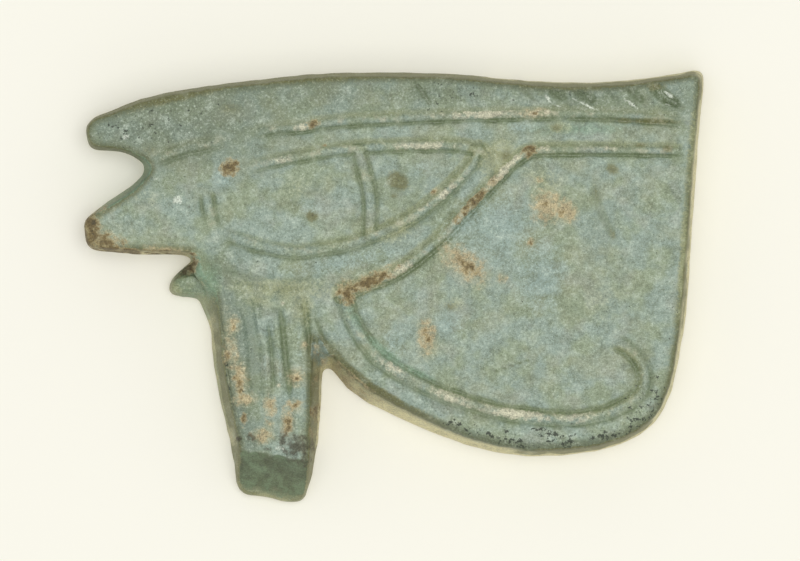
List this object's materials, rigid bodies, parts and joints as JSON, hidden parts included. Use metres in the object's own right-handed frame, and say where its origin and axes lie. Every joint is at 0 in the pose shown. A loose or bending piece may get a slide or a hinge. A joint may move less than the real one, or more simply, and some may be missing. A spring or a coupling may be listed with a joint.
{
  "type": "wedjat eye amulet",
  "caption": "Flat-backed stylised eye with brow, curled cheek mark and foot in raised lines, moulded in one piece and pierced lengthwise for a thread.",
  "frame": {"origin": "middle of the outline's box, on the plane of the flat back", "axes": "+X from the tip of the brow to its tall end, +Y towards the brow, +Z out of the carved face"},
  "size_m": [0.0482, 0.0336, 0.0063],
  "materials": {
    "faience": "worn, matt blue-green glaze with rust-brown and cream stains"
  },
  "bodies": {
    "root": {"wedjat_amulet": "faience"}
  },
  "joints": []
}
